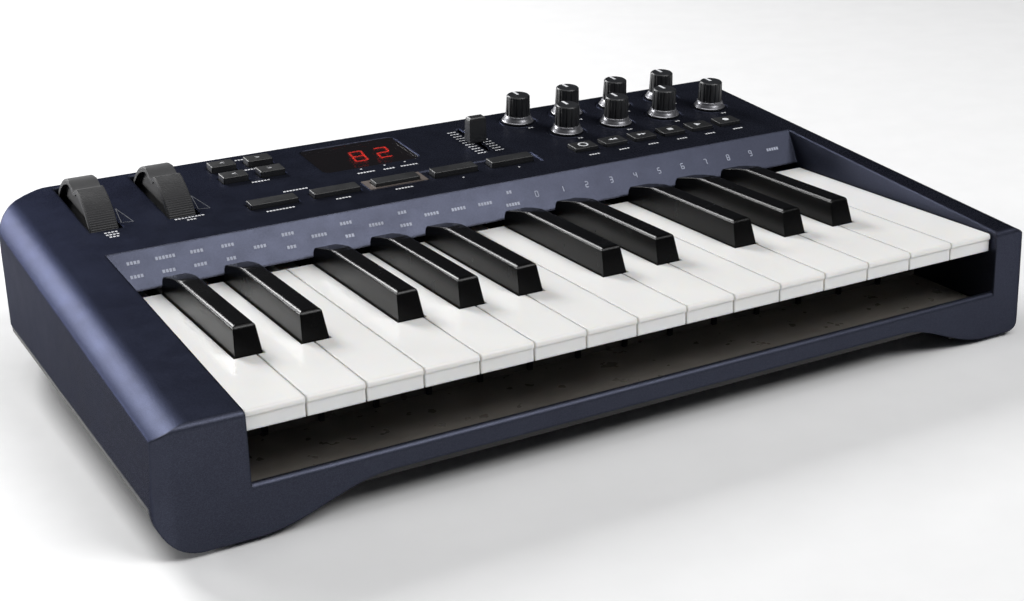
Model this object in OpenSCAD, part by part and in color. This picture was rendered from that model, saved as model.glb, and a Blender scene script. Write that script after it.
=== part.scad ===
// MIDI keyboard controller with 25 keys, two wheels, 15 buttons, one fader and eight knobs.
// Modules work in key space: X from the left end of the key bed, Y from the key fronts and
// Z from the tops of the white keys. place() moves key space so that the origin is under the
// middle of the case, on the surface that the rubber feet stand on.

/* [Keys] */
// Width of one white key with its gap
key_pitch = 23.5; // [23:0.1:24]
// Gap between two white keys
key_gap = 0.8; // [0.4:0.1:1]
// Visible length of a white key
key_length = 137; // [134:0.5:137]
// Length of a white key in front of the black keys
key_head = 48.5; // [46:0.5:50]
// Height of a white key's front face
key_front_h = 8; // [7:0.5:8]
// Width of a black key at the level of the white keys
black_w = 11.2; // [10:0.1:11.5]
// Height of a black key above the white keys
black_h = 11.5; // [10:0.5:12]
// Distance from the key fronts to the pivot rod
pivot_y = 165; // [160:1:166]
// Depth of the pivot rod below the key tops
pivot_drop = 8; // [7:0.5:9]
// Diameter of the pivot rod
rod_d = 3; // [2.5:0.5:3]

/* [Case] */
// Width of the left end block
cheek_left = 36; // [34:0.5:40]
// Width of the right end block
cheek_right = 18; // [16:0.5:20]
// Distance of the case front ahead of the key fronts
front_y = -3; // [-4:0.5:-3]
// Distance of the rear wall behind the key fronts
back_y = 245; // [243:0.5:250]
// Height of the panel plane above the key tops, at the key fronts
panel_rise = 1.6; // [1.2:0.1:2]
// Slope of the control panel, in degrees
panel_slope = 5.63; // [5:0.1:6]
// Thickness of the top shell
wall = 2.5; // [2:0.1:3]
// Height of the key tops above the surface
key_top_z = 50; // [49:0.5:52]
// Height of the front lip's top edge, below the key tops
lip_drop = 27; // [25:0.5:28]
// Top of the arch in the front lip, below the key tops
arch_drop = 35.3; // [34:0.1:36]
// Lower edge of the two front feet, below the key tops
foot_drop = 48; // [47:0.5:48]
// Underside of the bottom shell, below the key tops
base_drop = 38.5; // [38:0.1:39]

/* [Controls] */
// Radius of the two wheels
wheel_r = 31; // [30:0.5:32]
// Width of a wheel
wheel_w = 12.6; // [12:0.1:13]
// Height of a wheel above the panel
wheel_rise = 13.2; // [12.6:0.1:13.8]
// Distance between two knobs of one row
knob_pitch = 29.7; // [29:0.1:30]
// Height of a knob above the panel
knob_h = 14.6; // [13:0.1:16]
// Radius of a knob's cap at its top
knob_r = 5.9; // [5.5:0.1:6.2]
// Distance between two wide buttons
wide_pitch = 30.8; // [30:0.1:31]
// Distance between two transport buttons
transport_pitch = 17.45; // [17:0.05:17.6]
// Height of the fader cap above the panel
fader_h = 13.5; // [12:0.5:15]

/* [Hidden] */
white_count = 15;
black_count = 10;
white_steps = [0, 2, 4, 5, 7, 9, 11];
black_steps = [1, 3, 6, 8, 10];
step = 7 * key_pitch / 12;
keys_w = white_count * key_pitch;
last_semitone = 24;

left_x = -cheek_left;
right_x = keys_w + cheek_right;
middle_x = (left_x + right_x) / 2;
middle_y = (front_y + back_y) / 2;

flare = 0.9;
draft = 0.05;
section_depth = 75;
well_gap = 0.6;
strip_top_y = 150.4;
strip_low = [139.6, 1.7];
part_z = -30.3;
part_slope = 2.24;
apron_depth = 8;
floor_z = -base_drop + 2.2;

corner = [9, 5, 16, 54];
lip_round = 2.2;
cheek_lean = 0.18;
arc_steps = 12;

wheel_x = [5, 40.3];
wheel_y = 207.5;
small_x = [75.7, 94.1];
small_y = [210, 226];
small_size = [12.4, 7.8, 3];
wide_x = 80.6;
wide_y = 173.9;
wide_size = [23, 7, 2.2];
transport_x = 245.9;
transport_y = 174.3;
transport_size = [12.8, 9, 1.8];
button_gap = 0.35;
button_travel = 1;
knob_x = [236.5, 251.4];
knob_y = [223.7, 199];
fader_x = 202.4;
fader_y = 206.5;
fader_slot = [191.5, 227];
display_box = [117, 198, 50.5, 33.6];
board_drop = 16;
board_spots = [[64.5, 218], [68, 165.5], [110, 186], [222, 206], [342, 211], [229, 170], [344, 185]];
io_z = -14;
switch_x = 64;
dc_x = 82;
usb_x = 104;
jack_x = 130;
socket_z = -6.9;
switch_z = -5.5;
screw_spots = [[-18, 30], [-18, 150], [361.8, 30], [359.5, 150], [22.6, 238], [160, 238], [255, 238], [340, 236]];
frame_spots = [for (y = [70, 127.5]) for (x = [58.75, 176.25, 293.75]) [x, y]];
foot_spots = [[-10, 15], [345, 15], [-8, 215], [345, 215]];

$fn = 48;

// ---- placing and profile helpers ----

// Height of the panel plane at depth y.
function panel_z(y) = panel_rise + tan(panel_slope) * y;

// Height of the parting plane between the two shells at depth y.
function parting_z(y) = part_z + tan(part_slope) * y;

// Points along an arc round c, from angle a0 to a1.
function arc(c, r, a0, a1, n = arc_steps) =
    [for (i = [0:n]) let (a = a0 + (a1 - a0) * i / n) [c[0] + r * cos(a), c[1] + r * sin(a)]];

// Points along an S-shaped rise from p to q, level at both ends.
function s_curve(p, q, n = 16) =
    [for (i = [0:n]) [p[0] + (q[0] - p[0]) * i / n, p[1] + (q[1] - p[1]) * (1 - cos(180 * i / n)) / 2]];

// Rectangle with round corners, as points.
function round_box(x0, y0, x1, y1, r) = concat(
    arc([x0 + r, y0 + r], r, 180, 270, 6), arc([x1 - r, y0 + r], r, 270, 360, 6),
    arc([x1 - r, y1 - r], r, 0, 90, 6), arc([x0 + r, y1 - r], r, 90, 180, 6));

module place() translate([-middle_x, -middle_y, key_top_z]) children();

// Extrudes a (Y, Z) profile along X.
module along_x(x0, x1) translate([x0, 0, 0]) rotate([90, 0, 90]) linear_extrude(x1 - x0) children();

// Extrudes an (X, Z) profile along Y.
module along_y(y0, y1) translate([0, y1, 0]) rotate([90, 0, 0]) linear_extrude(y1 - y0) children();

// Puts children on the panel plane, upright to it.
module on_panel(x, y) translate([x, y, panel_z(y)]) rotate([panel_slope, 0, 0]) children();

// Box centred on X and Y, from z0 to z1.
module block(w, d, z0, z1) translate([-w / 2, -d / 2, z0]) cube([w, d, z1 - z0]);

// ---- case outline ----

module plan(t) polygon(concat(
    arc([left_x - flare + corner[0], front_y + corner[0]], corner[0] - t, 180, 270),
    arc([right_x + flare - corner[1], front_y + corner[1]], corner[1] - t, 270, 360),
    arc([right_x + flare - corner[2], back_y - corner[2]], corner[2] - t, 0, 90),
    arc([left_x - flare + corner[3], back_y - corner[3]], corner[3] - t, 90, 180)));

// One side of the cross section: a soft shoulder of radius r over a side wall with draft.
function shoulder(t, r, drop, setback) =
    let (run = sqrt(2 * r * drop - drop * drop), end = acos((run - t) / (r - t)))
    concat(arc([setback + run, -r], r - t, 90, 180 - end),
        [[setback + t - draft * (section_depth - drop), -section_depth]]);

module cross_section(t)
    let (l = shoulder(t, 24, 4.5, 1.4), r = shoulder(t, 8, 3, 1.6))
    polygon(concat(
        [for (p = l) [left_x + p[0], p[1]]],
        [for (i = [len(r) - 1:-1:0]) [right_x - r[i][0], r[i][1]]]));

module side_profile(t) polygon(concat(
    [[front_y + t, -90]],
    arc([front_y + 2.6, panel_z(front_y + 2.6) - 2.6 / cos(panel_slope)], 2.6 - min(t, 2.5), 180, 90 + panel_slope, 6),
    arc([back_y - 6, panel_z(back_y - 6) - 6 / cos(panel_slope)], 6 - t, 90 + panel_slope, 0, 8),
    [[back_y - t, -90]]));

// The whole outer form of the case, inset by t.
module case_body(t) intersection() {
    translate([0, 0, -85]) linear_extrude(150) plan(t);
    translate([0, 0, panel_z(0)]) rotate([panel_slope, 0, 0]) along_y(-60, 320) cross_section(t);
    along_x(left_x - 5, right_x + 5) side_profile(t);
}

// Everything above the parting plane.
module above_parting(gap = 0) along_x(left_x - 10, right_x + 10) polygon([
    [-30, parting_z(-30) + gap], [280, parting_z(280) + gap], [280, 80], [-30, 80]]);

// Front outline: two deep feet with an arch between them.
module apron_outline() polygon(concat(
    [[left_x - 5, 60], [left_x - 5, -foot_drop + 17]],
    arc([left_x + 17, -foot_drop + 17], 17, 180, 270),
    s_curve([0, -foot_drop], [55, -arch_drop]),
    s_curve([299, -arch_drop], [350, -foot_drop]),
    arc([right_x - 8, -foot_drop + 8], 8, 270, 360),
    [[right_x + 5, -foot_drop + 8], [right_x + 5, 60]]));

// ---- top shell ----

module screw_post(p, top) translate([p[0], p[1], -33]) difference() {
    cylinder(h = top + 33, d = 7);
    translate([0, 0, -1]) cylinder(h = 15, d = 3.04);
}

// The key opening; its side walls lean outwards above the key tops.
module key_well() {
    along_y(front_y - 5, strip_top_y) polygon([
        [-well_gap, -lip_drop], [keys_w + well_gap, -lip_drop], [keys_w + well_gap, 0],
        [keys_w + well_gap + cheek_lean * 50, 50], [-well_gap - cheek_lean * 50, 50], [-well_gap, 0]]);
    translate([-well_gap, front_y + wall, -80]) cube([keys_w + 2 * well_gap, strip_top_y - front_y - wall, 80]);
}

// Rounds the outer top edge of the front lip.
module lip_edge() along_x(-well_gap, keys_w + well_gap) difference() {
    translate([front_y - 1, -lip_drop - lip_round]) square(lip_round + 1);
    translate([front_y + lip_round, -lip_drop - lip_round]) circle(lip_round);
}

// Inclined wall between the panel's front edge and the keys.
module label_strip() along_x(-well_gap - 3.2, keys_w + well_gap + 3.2) polygon([
    [strip_top_y, panel_z(strip_top_y)], strip_low, [strip_low[0] + 2, strip_low[1] - 0.9],
    [strip_top_y + 2.8, panel_z(strip_top_y) - 2.4], [strip_top_y + 2.8, panel_z(strip_top_y + 2.8)]]);

// Inner wall of an end block, x being its face towards the keys.
module cheek_wall(x, side) intersection() {
    along_x(x - 15, x + 15) polygon([
        [front_y + 0.2, -30], [2.4, -30], [2.4, -34.5], [strip_top_y + 4, -28],
        [strip_top_y + 4, 60], [front_y + 0.2, 60]]);
    along_y(front_y, strip_top_y + 4) polygon([
        [x, -40], [x, 0], [x + side * cheek_lean * 50, 50], [x + side * (cheek_lean * 50 + wall), 50],
        [x + side * wall, 0], [x + side * wall, -40]]);
    case_body(0.05);
}

module panel_holes() {
    for (x = wheel_x) on_panel(x, wheel_y) translate([0, -1, 0]) block(wheel_w + 1.8, 60, -8, 5);
    for (x = small_x) for (y = small_y) button_hole(x, y, small_size);
    for (i = [0:4]) button_hole(wide_x + i * wide_pitch, wide_y, wide_size);
    for (i = [0:5]) button_hole(transport_x + i * transport_pitch, transport_y, transport_size);
    for (r = [0:1]) for (i = [0:3]) on_panel(knob_x[r] + i * knob_pitch, knob_y[r]) {
        translate([0, 0, -5]) cylinder(h = 10, d = 7.4);
        translate([0, 0, -0.35]) rotate_extrude() translate([9.7, 0]) square([0.5, 1]);
    }
    on_panel(fader_x, (fader_slot[0] + fader_slot[1]) / 2) block(2.6, fader_slot[1] - fader_slot[0], -8, 5);
    on_display() {
        translate([0, 0, -1.7]) linear_extrude(7) display_plan(0.15);
        translate([0, 0, -8]) linear_extrude(13) display_plan(-1.5);
    }
    on_panel(wide_x + 3.5 * wide_pitch, wide_y) block(2 * wide_pitch, 13, -0.6, 3);
}

// Outline of the display window, grown by g.
module display_plan(g) {
    half = [display_box[2] / 2 + g, display_box[3] / 2 + g];
    polygon(round_box(-half[0], -half[1], half[0], half[1], 3.5 + g));
}

module on_display() on_panel(display_box[0] + display_box[2] / 2, display_box[1] + display_box[3] / 2)
    children();

module button_hole(x, y, size) on_panel(x, y)
    block(size[0] + 2 * button_gap, size[1] + 2 * button_gap, -8, 5);

module rear_holes() {
    along_y(back_y - 6, back_y + 5) translate([usb_x - 6.3, socket_z - 5.8]) square([12.6, 11.6]);
    along_y(back_y - 6, back_y + 5) translate([dc_x, socket_z]) circle(d = 8.6);
    along_y(back_y - 6, back_y + 5) translate([jack_x, socket_z]) circle(d = 9.4);
    along_y(back_y - 6, back_y + 5) translate([switch_x - 5.5, switch_z - 2.5]) square([11, 5]);
    along_y(back_y - 0.9, back_y + 5) translate([switch_x - 7.5, switch_z - 4]) square([15, 8]);
}

// Raised bezel round the middle wide button.
module select_bezel() on_panel(wide_x + 2 * wide_pitch, wide_y + 0.5) difference() {
    block(30, 11.2, -0.5, 0.35);
    translate([0, -0.5, 0]) block(wide_size[0] + 2 * button_gap, wide_size[1] + 2 * button_gap, -3, 3);
}

// Pillar that the control board is screwed to.
module board_pillar(p) on_panel(p[0], p[1]) difference() {
    translate([0, 0, -board_drop]) cylinder(h = board_drop - wall + 0.5, d = 5.5);
    translate([0, 0, -board_drop - 1]) cylinder(h = 9, d = 2.04);
}

// The space that the top shell may fill.
module top_space() {
    above_parting();
    along_y(front_y - 5, front_y + apron_depth) apron_outline();
    for (p = screw_spots) translate([p[0], p[1], -33]) cylinder(h = 60, d = 7.2);
    for (x = [-well_gap - wall, keys_w + well_gap]) translate([x, front_y, -35]) cube([wall, strip_top_y + 8, 60]);
}

module top_shell() color([0.25, 0.28, 0.38]) difference() {
    intersection() {
        union() {
            difference() {
                case_body(0);
                case_body(wall);
                key_well();
            }
            label_strip();
            cheek_wall(-well_gap, -1);
            cheek_wall(keys_w + well_gap, 1);
            for (p = screw_spots) screw_post(p, panel_z(p[1]) - 1);
            for (p = board_spots) board_pillar(p);
            select_bezel();
        }
        top_space();
    }
    lip_edge();
    panel_holes();
    rear_holes();
}

// ---- bottom shell ----

// Cross section of the tray relative to the parting plane, tucked in below a narrow rim.
module tray_section(t) polygon([
    [left_x - 2 + t, 20], [left_x - 2 + t, -2.6], [left_x + t, -2.6], [left_x + 10.4 + t, -16],
    [left_x + 10.4 + t, -60], [right_x - 10.4 - t, -60], [right_x - 10.4 - t, -16],
    [right_x - t, -2.6], [right_x + 2 - t, -2.6], [right_x + 2 - t, 20]]);

module tray_form(t) intersection() {
    case_body(0.4 + t);
    translate([0, 0, part_z]) rotate([part_slope, 0, 0]) along_y(-60, 320) tray_section(t);
    translate([left_x - 5, front_y + wall + 0.3 + t, -base_drop + t]) cube([right_x - left_x + 10, 300, 90]);
}

// Room for the part of the top shell's apron that wraps round a front corner.
module tray_corner_cut(x0, x1) translate([x0, front_y - 1, -60]) cube([x1 - x0, apron_depth + 1.3, 60]);

module pedestal(p) translate([p[0], p[1], -foot_drop + 0.4]) {
    translate([-11, -11, 0]) cube([22, 22, foot_drop - base_drop]);
}

module wheel_cradle(x) for (s = [-1, 1]) translate([x + s * (wheel_w / 2 + 2.6), wheel_y, 0])
    difference() {
        translate([-1.2, -8, floor_z - 0.5]) cube([2.4, 16, wheel_z() - floor_z + 5]);
        translate([-3, 0, wheel_z()]) rotate([0, 90, 0]) cylinder(h = 6, d = 4.1);
    }

function wheel_z() = panel_z(wheel_y) + wheel_rise - wheel_r;

module bottom_shell() color([0.06, 0.06, 0.07]) difference() {
    union() {
        difference() {
            tray_form(0);
            tray_form(2.2);
            above_parting(-0.2);
            tray_corner_cut(left_x - 2, left_x + corner[0]);
            tray_corner_cut(right_x - wall - 1, right_x + 2);
        }
        for (p = foot_spots) pedestal(p);
        for (p = screw_spots) translate([p[0], p[1], -base_drop]) cylinder(h = base_drop - 33, d = 9);
        for (x = wheel_x) wheel_cradle(x);
        for (x = [60, 140]) translate([x - 2, 214, floor_z - 0.5]) cube([4, 10, io_z - floor_z + 0.5]);
    }
    for (p = screw_spots) translate([p[0], p[1], -base_drop - 1]) {
        cylinder(h = 12, d = 3.4);
        cylinder(h = 3.2, d = 6.6);
    }
    for (p = frame_spots) translate([p[0], p[1], -base_drop - 1]) cylinder(h = 12, d = 3.4);
}

module rubber_feet() color([0.09, 0.09, 0.09])
    for (p = foot_spots) translate([p[0], p[1], -key_top_z]) rotate_extrude()
        polygon([[0, 0], [7.2, 0], [8, 0.8], [8, key_top_z - foot_drop + 0.4], [0, key_top_z - foot_drop + 0.4]]);

// Screw with a cross recess, its head's underside at z = 0 and its shank upwards.
module screw(head_d, head_h, shank_d, length) {
    difference() {
        translate([0, 0, -head_h]) cylinder(h = head_h, d = head_d);
        translate([-head_d / 3, -0.4, -head_h - 1]) cube([head_d * 2 / 3, 0.8, 1.8]);
        translate([-0.4, -head_d / 3, -head_h - 1]) cube([0.8, head_d * 2 / 3, 1.8]);
    }
    cylinder(h = length, d = shank_d);
}

module screws() color([0.3, 0.3, 0.32]) {
    for (p = screw_spots) translate([p[0], p[1], -base_drop + 2.2]) screw(5.8, 1.9, 3, 14);
    for (p = frame_spots) translate([p[0], p[1], -base_drop]) screw(5.6, 1.6, 3, 9);
    for (p = board_spots) on_panel(p[0], p[1]) translate([0, 0, -board_drop - 1.6]) screw(4.4, 1.4, 2, 8);
}

// ---- key bed ----

felt_z = -key_front_h - 7.4;

module key_frame() color([0.17, 0.17, 0.16]) {
    difference() {
        union() {
            translate([0.3, key_head - 0.5, floor_z]) cube([keys_w - 0.6, 2.5, felt_z - 1.5 - floor_z]);
            translate([0.3, 2.6, floor_z + 1.5]) cube([keys_w - 0.6, key_head - 1.8, 2]);
            translate([0.3, key_head - 0.5, felt_z - 3.5]) cube([keys_w - 0.6, 7.5, 2]);
            translate([0.3, key_head + 1, floor_z + 1]) cube([keys_w - 0.6, pivot_y - 39, 2]);
            translate([0.3, pivot_y + 8, floor_z]) cube([keys_w - 0.6, 2.5, -15 - floor_z]);
            translate([0.3, pivot_y + 2, -16]) cube([keys_w - 0.6, 8.5, 2]);
            for (i = [1:white_count - 1]) translate([i * key_pitch - 1, key_head - 2.2, floor_z])
                cube([2, 2.2, felt_z - 1.5 - floor_z]);
            for (k = [0:last_semitone + 1]) translate([comb_x(k), pivot_y - 7, floor_z])
                cube([2, 14, -2.5 - floor_z]);
            for (p = frame_spots) translate([p[0], p[1], floor_z]) cylinder(h = 9, d = 8);
        }
        for (p = frame_spots) translate([p[0], p[1], floor_z - 1]) cylinder(h = 9, d = 3.04);
    }
    translate([0.3, key_head + 0.5, felt_z - 1.5]) cube([keys_w - 0.6, 6, 1.5]);
    translate([0.3, pivot_y + 2.5, -14]) cube([keys_w - 0.6, 4, 2.6]);
    translate([0.3, pivot_y, -pivot_drop]) rotate([0, 90, 0]) cylinder(h = keys_w - 0.6, d = rod_d);
}

function comb_x(k) = k == 0 ? 0.3 : k == last_semitone + 1 ? keys_w - 2.3 : k * step - 1;

module key_springs() color([0.75, 0.75, 0.72])
    for (k = [0:last_semitone]) along_x(tail_x(k) - 2, tail_x(k) + 2) polygon([
        [132, floor_z + 3], [142, floor_z + 3], [154, -12.8], [157, -12.3], [157, -11.9],
        [153.8, -12.4], [141.8, floor_z + 3.4], [132, floor_z + 3.4]]);

// ---- keys ----

function is_black(k) = len(search(k % 12, black_steps)) > 0;
function white_semitone(i) = 12 * floor(i / 7) + white_steps[i % 7];
function black_semitone(i) = 12 * floor(i / 5) + black_steps[i % 5];
function tail_x(k) = (k + 0.5) * step;
function stem_left(i) = let (k = white_semitone(i))
    k > 0 && is_black(k + 11) ? tail_x(k - 1) + black_w / 2 + key_gap : i * key_pitch + key_gap / 2;
function stem_right(i) = let (k = white_semitone(i))
    k < last_semitone && is_black(k + 1) ? tail_x(k + 1) - black_w / 2 - key_gap : (i + 1) * key_pitch - key_gap / 2;

// Outline of a white key from above, inset by t.
module white_plan(i, t) {
    x0 = i * key_pitch + key_gap / 2 + t;
    x1 = (i + 1) * key_pitch - key_gap / 2 - t;
    polygon([[x0, -1 + 2 * t], [x1, -1 + 2 * t], [x1, key_head - t], [stem_right(i) - t, key_head - t],
        [stem_right(i) - t, key_length + 1 - 2 * t], [stem_left(i) + t, key_length + 1 - 2 * t],
        [stem_left(i) + t, key_head - t], [x0, key_head - t]]);
}

module white_profile() polygon(concat(
    [[1, -key_front_h], [1, -2.7], [0.4, -2.4]], arc([1.6, -1.2], 1.2, 180, 90, 5),
    arc([key_length - 1.5, -1.5], 1.5, 90, 0, 5), [[key_length, -key_front_h]]));

// The bar behind the visible key, with its bearing for the pivot rod.
module key_tail(k, y0) difference() {
    union() {
        translate([tail_x(k) - 4.5, y0, -11]) cube([9, pivot_y + 6 - y0, 8]);
        translate([tail_x(k) - 2.5, 108, -11.2]) cube([5, 5, 9]);
    }
    translate([tail_x(k) - 6, pivot_y, -pivot_drop]) rotate([0, 90, 0]) cylinder(h = 12, d = rod_d + 0.12);
}

module white_key(i) color([0.95, 0.95, 0.93]) {
    difference() {
        intersection() {
            translate([0, 0, -key_front_h]) linear_extrude(key_front_h + 1) white_plan(i, 0);
            along_x(i * key_pitch, (i + 1) * key_pitch) white_profile();
        }
        translate([0, 0, -key_front_h - 1]) linear_extrude(key_front_h - 1.6) white_plan(i, 1.6);
    }
    key_tail(white_semitone(i), key_length - 2.5);
}

module black_section() polygon(concat(
    [[-black_w / 2, -6], [-black_w / 2, 0]],
    arc([-black_w / 2 + 2.5, black_h - 1.5], 1.5, 172, 90, 5),
    arc([black_w / 2 - 2.5, black_h - 1.5], 1.5, 90, 8, 5),
    [[black_w / 2, 0], [black_w / 2, -6]]));

module black_profile() polygon(concat(
    [[key_head + 0.9, -6], [key_head + 0.9, 0]],
    arc([key_head + 5.6, black_h - 2], 2, 165, 90, 6),
    [[112, black_h], [118, black_h - 0.5], [126, black_h - 2]],
    arc([key_length - 3.4, black_h - 7], 3.2, 65, 5, 6),
    [[key_length, -6]]));

module black_key(i) color([0.02, 0.02, 0.02]) {
    intersection() {
        translate([tail_x(black_semitone(i)), 0, 0]) along_y(40, 140) black_section();
        along_x(tail_x(black_semitone(i)) - 8, tail_x(black_semitone(i)) + 8) black_profile();
    }
    key_tail(black_semitone(i), key_length - 2.5);
}

// ---- wheels ----

scoop = [82, 103, 110];
scoop_depth = 3;
rim = 2.4;
rib_depth = 0.35;

// Depth of the finger scoop at angle a: a long slope behind its lowest line, a steep one ahead.
function scoop_at(a) =
    a < scoop[0] || a > scoop[2] ? 0
    : a < scoop[1] ? scoop_depth * (1 - cos(180 * (a - scoop[0]) / (scoop[1] - scoop[0]))) / 2
    : scoop_depth * (1 + cos(180 * (a - scoop[1]) / (scoop[2] - scoop[1]))) / 2;

// Depth of the ribs at angle a: they run from the scoop forwards and round below.
function rib_at(a) = a > scoop[2] && a % 2 == 1 ? rib_depth : 0;

module wheel(x) color([0.2, 0.2, 0.21]) translate([x, wheel_y, wheel_z()]) {
    difference() {
        along_x(-wheel_w / 2, wheel_w / 2) polygon([for (a = [0:359])
            (wheel_r - scoop_at(a) - rib_at(a)) * [cos(a), sin(a)]]);
        for (s = [-1, 1]) along_x(s * wheel_w / 2 - 2.6, s * wheel_w / 2 + 2.6) difference() {
            polygon([for (a = [0:3:357]) (wheel_r - rim - scoop_at(a)) * [cos(a), sin(a)]]);
            circle(6);
        }
        for (s = [-1, 1]) translate([s * wheel_w / 2, 0, 0]) rotate([0, 90 * s, 0]) rotate_extrude()
            polygon([[wheel_r - 0.9, 0.1], [wheel_r + 0.2, -0.9], [wheel_r + 2, -0.9], [wheel_r + 2, 0.1]]);
    }
    translate([-wheel_w / 2 - 3.6, 0, 0]) rotate([0, 90, 0]) cylinder(h = wheel_w + 7.2, d = 4);
}

// ---- buttons, knobs, fader and switch ----

module button(x, y, size) color([0.17, 0.17, 0.18]) on_panel(x, y) {
    block(size[0], size[1], -3, size[2]);
    block(size[0] + 2.4, size[1] + 2.4, -4, -3);
    block(3, 3, -board_drop + 6.3, -4);
}

// Cap outline with 14 grooves, radius r between them.
module fluted(r) difference() {
    circle(r);
    for (i = [0:13]) rotate(i * 360 / 14) translate([r + 0.15, 0]) circle(0.75, $fn = 24);
}

module knob(x, y) color([0.1, 0.1, 0.11]) on_panel(x, y) {
    intersection() {
        translate([0, 0, 3.4]) linear_extrude(knob_h - 3.4) fluted(knob_r + 0.5);
        rotate_extrude() polygon([[0, 3], [knob_r + 0.5, 3], [knob_r + 0.1, knob_h - 0.6],
            [knob_r - 0.5, knob_h], [0, knob_h]]);
    }
    rotate_extrude() polygon([[0, 0.4], [8.3, 0.4], [8.3, 1.1], [7.8, 1.4], [7.4, 2.2], [6.9, 3],
        [6.7, 3.9], [6.3, 4.1], [0, 4.1]]);
    translate([0, 0, -board_drop + 3.5]) cylinder(h = board_drop, d = 6);
}

module fader_cap() color([0.12, 0.12, 0.13]) on_panel(fader_x, fader_y) {
    intersection() {
        along_x(-4.7, 4.7) polygon(concat([[-3.2, 0.5], [3.2, 0.5]],
            arc([0.9, fader_h - 1.4], 1.4, 0, 90, 5), arc([-0.9, fader_h - 1.4], 1.4, 90, 180, 5)));
        along_y(-4, 4) polygon(concat([[-4.7, 0], [4.7, 0]],
            arc([2.8, fader_h - 1.9], 1.9, 0, 90, 5), arc([-2.8, fader_h - 1.9], 1.9, 90, 180, 5)));
    }
    block(1.8, 4, -board_drop + 4, 0.6);
}

module power_switch() color([0.1, 0.1, 0.1]) translate([switch_x - 4, back_y - 7.5, switch_z - 1.6])
    cube([4, 7.3, 3.2]);

// ---- display and boards ----

module display_window() color([0.03, 0.02, 0.02]) on_display() translate([0, 0, -1.65]) linear_extrude(1.5)
    display_plan(0);

module tact_switch(x, y) on_panel(x, y) {
    block(6, 6, -board_drop, -board_drop + 3.6);
    translate([0, 0, -board_drop + 3.6]) cylinder(h = 1.4, d = 3.4);
}

module pot(x, y) on_panel(x, y) difference() {
    block(11, 11.5, -board_drop, -board_drop + 7.5);
    translate([0, 0, -board_drop + 2.8]) cylinder(h = 10, d = 6.12);
}

module control_board() color([0.1, 0.35, 0.16]) {
    difference() {
        on_panel(205, 196) block(290, 68, -board_drop - 1.6, -board_drop);
        for (p = board_spots) on_panel(p[0], p[1]) translate([0, 0, -20]) cylinder(h = 8, d = 2.4);
    }
    for (x = small_x) for (y = small_y) tact_switch(x, y);
    for (i = [0:4]) tact_switch(wide_x + i * wide_pitch, wide_y);
    for (i = [0:5]) tact_switch(transport_x + i * transport_pitch, transport_y);
    for (r = [0:1]) for (i = [0:3]) pot(knob_x[r] + i * knob_pitch, knob_y[r]);
    on_panel(fader_x, (fader_slot[0] + fader_slot[1]) / 2) difference() {
        block(10, 46, -board_drop, -board_drop + 7);
        block(2.4, 37, -board_drop + 3.5, 0);
    }
    on_display() block(40, 24, -board_drop, -2.2);
}

module contact_board() color([0.1, 0.35, 0.16]) {
    translate([4, 96, -25]) cube([keys_w - 8, 30, 1.6]);
    for (x = [20, 176, 332]) translate([x, 98, floor_z + 3]) cube([6, 22, -25 - floor_z - 3]);
    for (k = [0:last_semitone]) translate([tail_x(k), 110.5, -23.4]) cylinder(h = 8.2, d1 = 8, d2 = 6);
}

// Cylinder along Y through a socket, from y0 to y1.
module barrel(x, d, y0, y1) along_y(y0, y1) translate([x, socket_z]) circle(d = d);

module socket_board() color([0.1, 0.35, 0.16]) {
    translate([56, 208, io_z]) cube([88, 33, 1.6]);
    difference() {
        translate([usb_x - 6, 227, io_z + 1.6]) cube([12, back_y - 227.4, 11]);
        translate([usb_x - 4.2, back_y - 9, socket_z - 3.9]) cube([8.4, 12, 7.8]);
    }
    translate([usb_x - 2.8, back_y - 9.5, socket_z - 1.6]) cube([5.6, 7.5, 3.2]);
    difference() {
        union() {
            translate([dc_x - 4.5, 228, io_z + 1.6]) cube([9, back_y - 230.8, 11]);
            barrel(dc_x, 8.2, back_y - 4, back_y - 0.4);
        }
        barrel(dc_x, 5.6, back_y - 10, back_y + 2);
    }
    barrel(dc_x, 2, back_y - 11, back_y - 2);
    difference() {
        union() {
            translate([jack_x - 8, 210, io_z + 1.6]) cube([16, back_y - 212.8, 11.5]);
            barrel(jack_x, 9, back_y - 4, back_y - 0.2);
        }
        barrel(jack_x, 6.4, back_y - 30, back_y + 2);
    }
    difference() {
        translate([switch_x - 5.5, 234, io_z + 1.6]) cube([11, 6, 9.6]);
        translate([switch_x - 4.8, 236.5, switch_z - 2]) cube([9.6, 5, 4]);
    }
}

module circuit_boards() {
    control_board();
    contact_board();
    socket_board();
}

// ---- assembly ----

place() {
    top_shell();
    bottom_shell();
    key_frame();
    key_springs();
    circuit_boards();
    display_window();
    rubber_feet();
    screws();
    wheel(wheel_x[0]);  // pitch_wheel
    wheel(wheel_x[1]);  // mod_wheel
    fader_cap();
    power_switch();
    for (i = [1:white_count]) white_key(i - 1);
    for (i = [1:black_count]) black_key(i - 1);
    for (i = [1:8]) knob(knob_x[floor((i - 1) / 4)] + (i - 1) % 4 * knob_pitch, knob_y[floor((i - 1) / 4)]);
    for (i = [1:4]) button(small_x[(i - 1) % 2], small_y[floor((i - 1) / 2)], small_size);
    for (i = [1:5]) button(wide_x + (i - 1) * wide_pitch, wide_y, wide_size);
    for (i = [1:6]) button(transport_x + (i - 1) * transport_pitch, transport_y, transport_size);
}
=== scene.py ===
"""Looks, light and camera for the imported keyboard.

Lengths in this file are millimetres in key space, as in the part's source: X from the left end of
the key bed, Y from the key fronts, Z from the tops of the white keys. at() turns them into metres
in the shared frame. Lights and materials are given in metres.
"""

from math import cos, pi, radians, sin, tan

import bmesh
import bpy
from mathutils import Matrix, Vector


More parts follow.
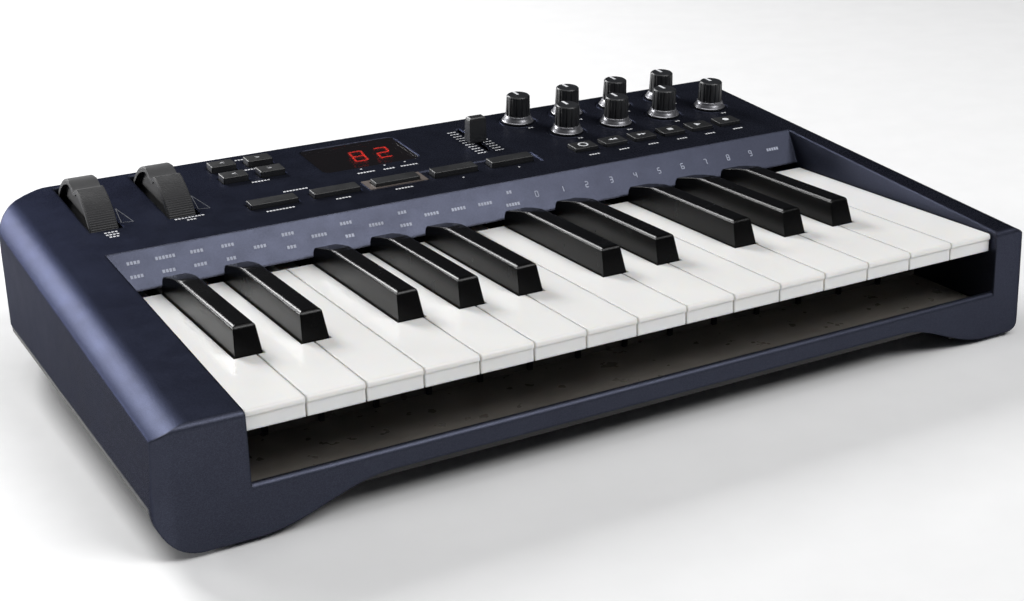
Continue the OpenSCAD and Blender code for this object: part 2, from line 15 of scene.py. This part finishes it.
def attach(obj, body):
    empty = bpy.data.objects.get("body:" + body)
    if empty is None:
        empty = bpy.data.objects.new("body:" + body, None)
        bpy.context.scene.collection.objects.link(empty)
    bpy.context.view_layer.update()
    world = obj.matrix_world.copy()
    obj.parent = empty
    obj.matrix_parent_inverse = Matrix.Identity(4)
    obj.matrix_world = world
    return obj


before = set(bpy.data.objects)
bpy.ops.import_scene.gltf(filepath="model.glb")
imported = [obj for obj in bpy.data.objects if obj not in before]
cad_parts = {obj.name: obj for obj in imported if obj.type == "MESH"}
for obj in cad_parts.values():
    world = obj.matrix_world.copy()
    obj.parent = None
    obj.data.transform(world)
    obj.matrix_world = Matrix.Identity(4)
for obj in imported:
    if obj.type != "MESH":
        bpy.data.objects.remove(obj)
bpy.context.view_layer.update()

# Key space and the panel plane, as in the part's source.
KEY_ORIGIN = Vector((-167.25, -121.0, 50.0))
PANEL_RISE = 1.6
PANEL_SLOPE = radians(5.63)
STRIP_LOW = Vector((0, 139.6, 1.7))
STRIP_TOP = Vector((0, 150.4, PANEL_RISE + tan(PANEL_SLOPE) * 150.4))

# Places of the controls on the panel, and the heights of their tops above it.
WHEEL_X = (5.0, 40.3)
WHEEL_Y = 190
SMALL_BUTTONS = [(75.7, 210), (94.1, 210), (75.7, 226), (94.1, 226)]
SMALL_RISE = 3.0
WIDE_BUTTONS = [(80.6 + 30.8 * i, 173.9) for i in range(5)]
TRANSPORT_BUTTONS = [(245.9 + 17.45 * i, 174.3) for i in range(6)]
TRANSPORT_RISE = 1.8
KNOBS = [(236.5 + 29.7 * i, 223.7) for i in range(4)] + [(251.4 + 29.7 * i, 199.0) for i in range(4)]
KNOB_HEIGHT = 14.6
COLLAR_HEIGHTS = (1.15, 4.2)
FADER_CENTRE = (202.4, 206.8)

# Parts of a node that have a material of their own, and the band of painted shade on the key frame's ribs:
# half sizes along the panel, and heights.
BEZEL_HALF = (15.1, 5.7)
BEZEL_LOW = 0.05
DISPLAY_CENTRE = (142.25, 214.8)
DISPLAY_HALF = (20.2, 12.2)
DISPLAY_LOW = -15.9
SOCKET_FRONT, SOCKET_FLOOR = 226, -12.3
KEY_HEAD = 48.5
# Faces of the key frame in front of the key heads and above this height get a near-black material, which
# paints the shade that falls on the upper ribs under the keys.
RIB_SHADE_FOOT = -32.7

# Printed marks: their thickness, and their height above the surface they are printed on.
INK = 0.05
INK_LIFT = 0.02

# Segments of a digit: a top, b and c right, d bottom, e and f left, g middle.
SEGMENTS = {0: "abcdef", 1: "bc", 2: "abged", 3: "abgcd", 4: "fgbc", 5: "afgcd",
            6: "afgedc", 7: "abc", 8: "abcdefg", 9: "abcdfg"}


# ---- places ----

def at(x, y, z):
    """Key space point in metres of the shared frame."""
    return (Vector((x, y, z)) + KEY_ORIGIN) / 1000


def panel_frame(x, y, rise=0.0):
    """Matrix whose XY plane lies on the panel at (x, y), lifted by rise; its unit is a millimetre."""
    up = Vector((0, -sin(PANEL_SLOPE), cos(PANEL_SLOPE)))
    point = at(x, y, PANEL_RISE + tan(PANEL_SLOPE) * y) + up * (rise / 1000)
    return Matrix.Translation(point) @ Matrix.Rotation(PANEL_SLOPE, 4, "X") @ Matrix.Scale(0.001, 4)


def strip_frame(x, along):
    """Matrix on the label strip: along runs from its lower edge, 0, to its upper edge, 1."""
    slope = STRIP_TOP - STRIP_LOW
    spot = STRIP_LOW + slope * along
    tilt = Matrix.Rotation(slope.yz.angle_signed(Vector((1, 0))), 4, "X")
    return Matrix.Translation(at(x, spot.y, spot.z)) @ tilt @ Matrix.Scale(0.001, 4)


# ---- outlines, in millimetres ----

def bar(x, y, w, h):
    """Rectangle centred on (x, y)."""
    return [(x - w / 2, y - h / 2), (x + w / 2, y - h / 2), (x + w / 2, y + h / 2), (x - w / 2, y + h / 2)]


def disc(x, y, r, n=24):
    """Regular polygon of n sides that stands for a circle."""
    return [(x + r * cos(2 * pi * i / n), y + r * sin(2 * pi * i / n)) for i in range(n)]


def ring(x, y, r, width, n=28):
    """Quads that make a ring of inner radius r."""
    quads = []
    for i in range(n):
        a, b = (2 * pi * (i + k) / n for k in (0, 1))
        corners = ((r, a), (r + width, a), (r + width, b), (r, b))
        quads.append([(x + q * cos(t), y + q * sin(t)) for q, t in corners])
    return quads


def pointer(x, y, size, direction=1):
    """Triangle of the given size aimed along +X or, with direction -1, along -X."""
    reach = direction * size / 2
    return [(x - reach, y + reach), (x - reach, y - reach), (x + reach, y)]


def chevron(x, y, size, direction):
    """Arrow head made of two strokes."""
    tip, tail, half = x + direction * size / 2, x - direction * size / 2, size / 2
    stroke = 0.32 * size * direction
    shapes = []
    for side in (-1, 1):
        shape = [(tip, y), (tail, y + side * half), (tail - stroke, y + side * half), (tip - stroke, y)]
        shapes.append(shape[::side * direction])
    return shapes


def digit(value, w, h, stroke, slant=0.0):
    """Outlines of one segment digit centred on the origin."""
    middle, side = (h - stroke) / 2, (w - stroke) / 2
    across = w - 1.3 * stroke
    upright = middle - 0.3 * stroke
    places = {"a": (0, middle, across, stroke), "g": (0, 0, across, stroke),
              "d": (0, -middle, across, stroke),
              "b": (side, middle / 2, stroke, upright), "c": (side, -middle / 2, stroke, upright),
              "f": (-side, middle / 2, stroke, upright), "e": (-side, -middle / 2, stroke, upright)}
    return [[(x + slant * y, y) for x, y in bar(*places[name])] for name in SEGMENTS[value]]


def dashes(count, height, width, gap=0.4):
    """A row of plain bars centred on the origin, standing for a printed word."""
    pitch = width + gap
    return [bar((i - (count - 1) / 2) * pitch, 0, width, height) for i in range(count)]


# ---- pieces ----

def print_marks(name, body, material, groups):
    """One piece made of thin plates: groups is a list of (matrix, outlines)."""
    bm = bmesh.new()
    for matrix, shapes in groups:
        for shape in shapes:
            low = [bm.verts.new(matrix @ Vector((x, y, INK_LIFT))) for x, y in shape]
            high = [bm.verts.new(matrix @ Vector((x, y, INK_LIFT + INK))) for x, y in shape]
            bm.faces.new(high)
            bm.faces.new(low[::-1])
            for i in range(len(shape)):
                j = (i + 1) % len(shape)
                bm.faces.new((low[i], low[j], high[j], high[i]))
    mesh = bpy.data.meshes.new(name)
    bm.to_mesh(mesh)
    bm.free()
    mesh.materials.append(material)
    piece = bpy.data.objects.new(name, mesh)
    bpy.context.scene.collection.objects.link(piece)
    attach(piece, body)


# ---- materials ----

class Nodes:
    """Short way to write a node tree that ends in one Principled shader."""

    def __init__(self, name, **values):
        self.material = bpy.data.materials.new(name)
        self.material.use_nodes = True
        self.tree = self.material.node_tree
        self.shader = self.tree.nodes["Principled BSDF"]
        for key, value in values.items():
            self.shader.inputs[key.replace("_", " ")].default_value = value
        self.place = self.new("ShaderNodeTexCoord").outputs["Object"]

    def new(self, kind, **inputs):
        """A node whose inputs are set by name, each from a value or from another node's output."""
        node = self.tree.nodes.new(kind)
        for key, value in inputs.items():
            self.put(value, node.inputs[key.replace("_", " ")])
        return node

    def put(self, value, socket):
        """Sets a socket to a value, or links it to another node's output."""
        if isinstance(value, bpy.types.NodeSocket):
            self.tree.links.new(value, socket)
        else:
            socket.default_value = value

    def noise(self, per_metre, detail=3.0):
        """Noise from 0 to 1 with about per_metre lumps in a metre."""
        node = self.new("ShaderNodeTexNoise", Vector=self.place, Scale=per_metre, Detail=detail)
        return node.outputs["Fac"]

    def spread(self, value, low, high, to_low=0.0, to_high=1.0):
        """Maps low..high to to_low..to_high, and clamps."""
        return self.new("ShaderNodeMapRange", Value=value, From_Min=low, From_Max=high,
                        To_Min=to_low, To_Max=to_high).outputs["Result"]

    def add(self, a, b):
        """Sum of two numbers."""
        node = self.tree.nodes.new("ShaderNodeMath")
        node.operation = "ADD"
        self.put(a, node.inputs[0])
        self.put(b, node.inputs[1])
        return node.outputs[0]

    def mix(self, factor, a, b):
        """Colour between a and b."""
        node = self.tree.nodes.new("ShaderNodeMix")
        node.data_type = "RGBA"
        self.put(factor, node.inputs[0])
        self.put(a, node.inputs[6])
        self.put(b, node.inputs[7])
        return node.outputs[2]

    def colour(self, value):
        """Base colour of the shader."""
        self.put(value, self.shader.inputs["Base Color"])

    def roughness(self, value):
        """Roughness of the shader."""
        self.put(value, self.shader.inputs["Roughness"])

    def bump(self, height, strength, distance, edge=0.0):
        """Bump of the shader; edge is the radius, in metres, of the rounding that edges seem to have."""
        node = self.new("ShaderNodeBump", Height=height, Strength=strength, Distance=distance)
        if edge:
            self.put(self.new("ShaderNodeBevel", Radius=edge).outputs[0], node.inputs["Normal"])
        self.put(node.outputs["Normal"], self.shader.inputs["Normal"])


def rgb(r, g, b):
    """Opaque colour."""
    return (r, g, b, 1.0)


def moulded(name, colour, roughness, grain=2500.0, vary=0.15, **values):
    """Moulded plastic: a fine spark-eroded grain, and slight unevenness of colour and gloss."""
    n = Nodes(name, **values)
    cloud = n.noise(35.0, 4.0)
    dark = rgb(*(c * (1 - vary) for c in colour))
    light = rgb(*(min(c * (1 + vary), 1.0) for c in colour))
    n.colour(n.mix(n.spread(cloud, 0.35, 0.65), dark, light))
    n.roughness(n.spread(n.noise(120.0), 0.3, 0.7, roughness * 0.88, roughness * 1.12))
    n.bump(n.noise(grain, 2.0), 0.35, 0.00003)
    return n.material


def blue_paint():
    """Metallic lacquer: fine flakes over a dark blue ground, with a thin soft clear coat."""
    n = Nodes("metallic_blue_paint", Metallic=0.92, Coat_Weight=0.07, Coat_Roughness=0.3,
              Specular_Tint=rgb(0.2, 0.21, 0.25))
    flakes = n.new("ShaderNodeTexVoronoi", Vector=n.place, Scale=4200.0).outputs["Color"]
    sparkle = n.new("ShaderNodeSeparateXYZ", Vector=flakes).outputs[0]
    body = n.mix(n.spread(n.noise(18.0), 0.35, 0.65), rgb(0.036, 0.039, 0.058), rgb(0.04, 0.044, 0.065))
    n.colour(n.mix(n.spread(sparkle, 0.2, 1.0, 0.0, 0.35), body, rgb(0.085, 0.093, 0.13)))
    n.roughness(n.spread(n.noise(90.0), 0.3, 0.7, 0.4, 0.46))
    n.bump(n.add(n.noise(3200.0, 2.0), sparkle), 0.18, 0.00002, edge=0.0014)
    return n.material


def key_white():
    """Glossy white plastic that light enters a little."""
    n = Nodes("key_white", Coat_Weight=0.2, Coat_Roughness=0.15, Subsurface_Weight=0.35,
              Subsurface_Radius=(1.0, 0.8, 0.6), Subsurface_Scale=0.003)
    n.colour(n.mix(n.spread(n.noise(25.0), 0.35, 0.65), rgb(0.84, 0.83, 0.81), rgb(0.87, 0.86, 0.84)))
    n.roughness(n.spread(n.noise(60.0), 0.3, 0.7, 0.3, 0.38))
    n.bump(n.noise(900.0, 2.0), 0.1, 0.00002, edge=0.001)
    return n.material


def key_black():
    """Glossy black plastic."""
    n = Nodes("key_black", Specular_IOR_Level=0.22)
    dark, light = rgb(0.0012, 0.0012, 0.0012), rgb(0.0018, 0.0018, 0.0019)
    n.colour(n.mix(n.spread(n.noise(25.0), 0.35, 0.65), dark, light))
    n.roughness(n.spread(n.noise(70.0), 0.3, 0.7, 0.24, 0.28))
    n.bump(n.noise(600.0, 2.0), 0.06, 0.00001, edge=0.0008)
    return n.material


def smoked_window():
    """Dark pane that the lit digits show through."""
    n = Nodes("smoked_window", Alpha=0.75, Coat_Weight=1.0, Coat_Roughness=0.03)
    n.colour(n.mix(n.noise(40.0), rgb(0.004, 0.003, 0.003), rgb(0.008, 0.005, 0.005)))
    n.roughness(n.spread(n.noise(150.0), 0.3, 0.7, 0.05, 0.09))
    return n.material


def lit_segment():
    """Red light of the digits."""
    n = Nodes("lit_segment", Emission_Strength=7.0)
    glow = n.mix(n.spread(n.noise(300.0), 0.3, 0.7), rgb(1.0, 0.035, 0.02), rgb(1.0, 0.06, 0.035))
    n.colour(glow)
    n.put(glow, n.shader.inputs["Emission Color"])
    return n.material


# ---- camera, light and floor ----

def make_camera():
    """Camera at the viewing angle: position, heading, pitch and roll."""
    heading, pitch, roll = radians(29.06), radians(18.98), radians(-1.77)
    look = Vector((sin(heading) * cos(pitch), cos(heading) * cos(pitch), -sin(pitch)))
    level_right = look.cross(Vector((0, 0, 1))).normalized()
    level_up = level_right.cross(look)
    right = cos(roll) * level_right + sin(roll) * level_up
    up = cos(roll) * level_up - sin(roll) * level_right
    data = bpy.data.cameras.new("camera")
    data.lens = 58.887
    data.shift_x = -0.01367
    data.shift_y = -0.03174
    camera = bpy.data.objects.new("camera", data)
    turn = Matrix((right, up, -look)).transposed().to_4x4()
    camera.matrix_world = Matrix.Translation(at(-173.9, -518.9, 234.8)) @ turn
    bpy.context.scene.collection.objects.link(camera)
    bpy.context.scene.camera = camera


def softbox(name, spot, aim, width, height, radiance):
    """Rectangular light at spot facing aim, in metres; radiance in W per square metre and steradian."""
    data = bpy.data.lights.new(name, "AREA")
    data.shape = "RECTANGLE"
    data.size, data.size_y = width, height
    data.energy = radiance * pi * width * height
    light = bpy.data.objects.new(name, data)
    light.location = spot
    light.rotation_euler = (Vector(aim) - Vector(spot)).to_track_quat("-Z", "Y").to_euler()
    bpy.context.scene.collection.objects.link(light)


def make_stage():
    """Pale floor, dim surroundings and four softboxes."""
    world = bpy.data.worlds.new("studio")
    world.use_nodes = True
    world.node_tree.nodes["Background"].inputs["Color"].default_value = rgb(0.03, 0.031, 0.036)
    bpy.context.scene.world = world
    bpy.context.scene.view_settings.view_transform = "Standard"
    bm = bmesh.new()
    bmesh.ops.create_grid(bm, x_segments=1, y_segments=1, size=6.0)
    mesh = bpy.data.meshes.new("floor")
    bm.to_mesh(mesh)
    bm.free()
    floor = bpy.data.objects.new("floor", mesh)
    bpy.context.scene.collection.objects.link(floor)
    mesh.materials.append(moulded("floor_card", (0.86, 0.86, 0.86), 0.7, grain=300.0, vary=0.01))
    softbox("overhead", (-0.3, -0.2, 3.2), (-0.1, 0.0, 0), 2.4, 2.4, 1.8)
    softbox("back", (-0.46, 1.66, 1.15), (-0.2, 0, 0.06), 0.62, 0.7, 25.0)
    softbox("left", (-1.2, 1.38, 0.3), (0.19, 0.0, 0.06), 0.6, 0.4, 24.0)
    softbox("front", (0.72, -1.3, 1.7), (0.0, 0.0, 0.0), 1.0, 1.0, 9.0)


# ---- surface treatment of the CAD nodes ----

def angle_smoothing():
    """Geometry node group that smooths across gentle edges and keeps sharp ones."""
    group = bpy.data.node_groups.new("angle_smoothing", "GeometryNodeTree")
    group.interface.new_socket("Geometry", in_out="INPUT", socket_type="NodeSocketGeometry")
    group.interface.new_socket("Geometry", in_out="OUTPUT", socket_type="NodeSocketGeometry")
    start = group.nodes.new("NodeGroupInput")
    faces = group.nodes.new("GeometryNodeSetShadeSmooth")
    edges = group.nodes.new("GeometryNodeSetShadeSmooth")
    edges.domain = "EDGE"
    angle = group.nodes.new("GeometryNodeInputMeshEdgeAngle")
    compare = group.nodes.new("FunctionNodeCompare")
    compare.operation = "LESS_THAN"
    compare.inputs[1].default_value = radians(32)
    end = group.nodes.new("NodeGroupOutput")
    group.links.new(start.outputs[0], faces.inputs[0])
    group.links.new(faces.outputs[0], edges.inputs[0])
    group.links.new(angle.outputs[0], compare.inputs[0])
    group.links.new(compare.outputs[0], edges.inputs["Shade Smooth"])
    group.links.new(edges.outputs[0], end.inputs[0])
    return group


def soften(node, radius, segments=2, merge_flats=True):
    """Rounds the sharp edges of a CAD node for its look, with modifiers only; radius in millimetres."""
    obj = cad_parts[node]
    if "custom_normal" in obj.data.attributes:
        obj.data.attributes.remove(obj.data.attributes["custom_normal"])
    weld = obj.modifiers.new("weld", "WELD")
    weld.merge_threshold = 0.000002
    if merge_flats:
        flat = obj.modifiers.new("flat", "DECIMATE")
        flat.decimate_type = "DISSOLVE"
        flat.angle_limit = radians(0.3)
    if radius:
        bevel = obj.modifiers.new("edges", "BEVEL")
        bevel.width = radius / 1000
        bevel.segments = segments
        bevel.limit_method = "ANGLE"
        bevel.angle_limit = radians(35)
        bevel.use_clamp_overlap = merge_flats
    smooth = obj.modifiers.new("smooth", "NODES")
    smooth.node_group = SMOOTHING
    normals = obj.modifiers.new("normals", "WEIGHTED_NORMAL")
    normals.keep_sharp = True


def dress(node, material, second=None, in_second=None):
    """Gives a CAD node its material, and a second one to the faces that in_second picks by their middle."""
    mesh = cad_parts[node].data
    mesh.materials.clear()
    mesh.materials.append(material)
    mesh.polygons.foreach_set("material_index", [0] * len(mesh.polygons))
    if second:
        mesh.materials.append(second)
        for polygon in mesh.polygons:
            if in_second(polygon.center):
                polygon.material_index = 1


def on_panel(centre):
    """Function that turns a point in metres into millimetres along and above the panel at centre."""
    inverse = panel_frame(*centre).inverted()
    return lambda point: inverse @ point


# ---- the object ----

SMOOTHING = angle_smoothing()
CASE_BLACK = moulded("case_black", (0.012, 0.012, 0.013), 0.42)
CAP = moulded("knob_black", (0.014, 0.015, 0.017), 0.4)
INK_WHITE = moulded("ink_white", (0.72, 0.73, 0.75), 0.55)
INK_PALE = moulded("ink_pale", (0.42, 0.45, 0.55), 0.5)
INK_GREY = moulded("ink_grey", (0.09, 0.095, 0.11), 0.55)


def dress_case():
    """Shells, key frame, boards and the small parts that stay with the case."""
    wide_x, wide_y = WIDE_BUTTONS[2]
    near_bezel = on_panel((wide_x, wide_y + 0.5))
    near_display = on_panel(DISPLAY_CENTRE)

    def is_bezel(point):
        spot = near_bezel(point)
        return abs(spot.x) < BEZEL_HALF[0] and abs(spot.y) < BEZEL_HALF[1] and spot.z > BEZEL_LOW

    # Picks the upper parts of the frame's ribs under the keys, which are made near-black as painted shade.
    def is_shaded_rib(point):
        spot = point * 1000 - KEY_ORIGIN
        return spot.y < KEY_HEAD - 0.6 and spot.z > RIB_SHADE_FOOT

    def is_black_part(point):
        """True on the display module and on the rear sockets."""
        spot = near_display(point)
        display = abs(spot.x) < DISPLAY_HALF[0] and abs(spot.y) < DISPLAY_HALF[1] and spot.z > DISPLAY_LOW
        spot = point * 1000 - KEY_ORIGIN
        return display or (spot.y > SOCKET_FRONT and spot.z > SOCKET_FLOOR)

    dress("top_shell", blue_paint(), moulded("bezel_bronze", (0.12, 0.1, 0.09), 0.4), is_bezel)
    # The key frame's second material is painted shade: near-black on the upper ribs under the keys, where
    # shadow falls.
    dress("key_frame", moulded("frame_grey", (0.13, 0.12, 0.108), 0.3),
          moulded("rib_painted_shade", (0.01, 0.01, 0.01), 0.5), is_shaded_rib)
    dress("circuit_boards", moulded("board_green", (0.02, 0.11, 0.05), 0.45), CASE_BLACK, is_black_part)
    dress("bottom_shell", CASE_BLACK)
    for node in ("top_shell", "key_frame", "circuit_boards", "bottom_shell"):
        soften(node, 0.0, merge_flats=False)
    steel = moulded("steel", (0.35, 0.35, 0.36), 0.35, Metallic=1.0)
    rubber = moulded("rubber", (0.02, 0.02, 0.02), 0.8)
    screw = moulded("screw_black", (0.04, 0.04, 0.042), 0.4, Metallic=0.8)
    for node, material, radius in (("key_springs", steel, 0.0), ("display_window", smoked_window(), 0.2),
                                   ("rubber_feet", rubber, 0.3), ("screws", screw, 0.15)):
        dress(node, material)
        soften(node, radius)


def dress_keys():
    """White and black keys."""
    white, black = key_white(), key_black()
    for i in range(1, 16):
        dress(f"white_key_{i}", white)
        soften(f"white_key_{i}", 0.0)
    for i in range(1, 11):
        dress(f"black_key_{i}", black)
        soften(f"black_key_{i}", 0.0, merge_flats=False)


def dress_controls():
    """Wheels, fader, switch, buttons and knobs."""
    wheel = moulded("wheel_grey", (0.05, 0.05, 0.052), 0.6)
    for node in ("pitch_wheel", "mod_wheel"):
        dress(node, wheel)
        soften(node, 0.0, merge_flats=False)
    for node, radius in (("fader_cap", 0.5), ("power_switch", 0.3)):
        dress(node, CAP)
        soften(node, radius)
    grey = moulded("button_grey", (0.014, 0.0145, 0.0155), 0.45)
    for kind, count in (("small", 4), ("wide", 5), ("transport", 6)):
        for i in range(1, count + 1):
            dress(f"{kind}_button_{i}", grey)
            soften(f"{kind}_button_{i}", 0.7, segments=3)
    collar = moulded("knob_collar", (0.30, 0.30, 0.32), 0.34, Metallic=0.85)
    for i, (x, y) in enumerate(KNOBS, 1):
        near = on_panel((x, y))
        dress(f"knob_{i}", CAP, collar, lambda point: COLLAR_HEIGHTS[0] < near(point).z < COLLAR_HEIGHTS[1])
        soften(f"knob_{i}", 0.2)
        print_marks(f"knob_pointer_{i}", f"knob_{i}", INK_WHITE,
                    [(panel_frame(x, y, KNOB_HEIGHT), [bar(0, 2.7, 1.4, 5.2)])])


# ---- printed marks ----

def strip_marks():
    """Plain dashes where the words were, and the figures 0 to 9, along the label strip."""
    rows = {0: (4, 4), 1: (6, 4), 2: (4, 4), 3: (4, 3), 4: (4,), 5: (4, 3), 6: (5,), 7: (4, 3),
            8: (5,), 9: (3, 4), 10: (5,), 11: (5,), 12: (5,), 13: (2, 5), 24: (5,)}
    groups = []
    for i in range(25):
        x = 6.9 + 13.95 * i
        if i not in rows:
            groups.append((strip_frame(x, 0.52), digit(i - 14, 1.9, 3.2, 0.42)))
            continue
        places = (0.7, 0.36) if len(rows[i]) == 2 else (0.52,)
        for count, along in zip(rows[i], places):
            groups.append((strip_frame(x, along), dashes(count, 1.5, 1.1)))
    return groups


def panel_marks():
    """Rows of dashes beside the controls, each as (x, y, dashes), and dots at buttons and the display."""
    rows = [(87.2, 233.6, 3), (85.3, 219.2, 7), (86.2, 202.5, 6), (96.3, 184.7, 8), (81.2, 165.6, 9),
            (112.0, 165.7, 5), (142.4, 164.6, 6), (135.2, 191.2, 6), (147.0, 190.8, 4), (157.8, 191.0, 6),
            (203.7, 181.0, 2)]
    rows += [(x + 0.3, 163.8, 4) for x, y in TRANSPORT_BUTTONS]
    rows += [(x + 1.1, y - 11.6, 2) for x, y in KNOBS]
    rows += [(5.9, 173.6, 4), (5.9, 171.0, 4), (5.9, 168.4, 3), (41.8, 174.9, 9), (41.8, 172.1, 3)]
    groups = [(panel_frame(x, y), dashes(count, 1.15, 1.1, 0.45)) for x, y, count in rows]
    dots = [(173.4, 164.5), (203.9, 164.7), (134.7, 195.9), (147.0, 195.9), (157.8, 195.9)]
    groups += [(panel_frame(x, y), [disc(0, 0, 0.5, 12)]) for x, y in dots]
    return groups


def fader_scale():
    """Short ticks on both sides of the fader slot."""
    columns = (-6.6, -4.9, -3.2, 3.2, 4.9, 6.6)
    ticks = [bar(x, 3.3 * row, 1.25, 0.8) for x in columns for row in range(-5, 6)]
    return [(panel_frame(*FADER_CENTRE), ticks)]


def cap_glyphs():
    """Marks on the button caps, each as (button, matrix, outlines)."""
    marks = []
    for i, spot in enumerate(SMALL_BUTTONS, 1):
        direction = -1 if i % 2 else 1
        marks.append((f"small_button_{i}", panel_frame(*spot, SMALL_RISE), chevron(0, 0, 1.9, direction)))
    glyphs = (ring(0, 0, 1.9, 0.75), [pointer(-1.3, 0, 2.4, -1), pointer(1.1, 0, 2.4, -1)],
              [pointer(-1.1, 0, 2.4), pointer(1.3, 0, 2.4)], [bar(0, 0, 2.9, 2.6)],
              [pointer(0, 0, 3.4)], [disc(0, 0, 1.7)])
    for i, (spot, shapes) in enumerate(zip(TRANSPORT_BUTTONS, glyphs), 1):
        marks.append((f"transport_button_{i}", panel_frame(*spot, TRANSPORT_RISE), shapes))
    return marks


def wheel_wedges():
    """Thin wedge outline beside each wheel."""
    groups = []
    far, near, inner = Vector((10.8, 9.5)), Vector((13.4, -8.8)), Vector((8.3, -7.7))
    for x in WHEEL_X:
        for start, end in ((far, near), (near, inner), (inner, far)):
            along = end - start
            across = Vector((-along.y, along.x)) / along.length * 0.17
            line = [start + across, start - across, end - across, end + across]
            groups.append((panel_frame(x, WHEEL_Y), [line]))
    return groups


def print_all():
    """Every printed mark and the lit digits."""
    digits = [(panel_frame(143.2, 217.8, -1.95), digit(8, 7.4, 14.3, 1.15, 0.13)),
              (panel_frame(156.4, 217.6, -1.95), digit(2, 7.4, 14.3, 1.15, 0.13))]
    print_marks("lit_digits", "case", lit_segment(), digits)
    print_marks("strip_print", "case", INK_PALE, strip_marks())
    print_marks("panel_print", "case", INK_WHITE, panel_marks())
    print_marks("fader_scale_print", "case", INK_WHITE, fader_scale())
    print_marks("wheel_wedges", "case", INK_GREY, wheel_wedges())
    for button, matrix, shapes in cap_glyphs():
        print_marks(f"{button}_glyph", button, INK_WHITE, [(matrix, shapes)])


make_camera()
make_stage()
dress_case()
dress_keys()
dress_controls()
print_all()
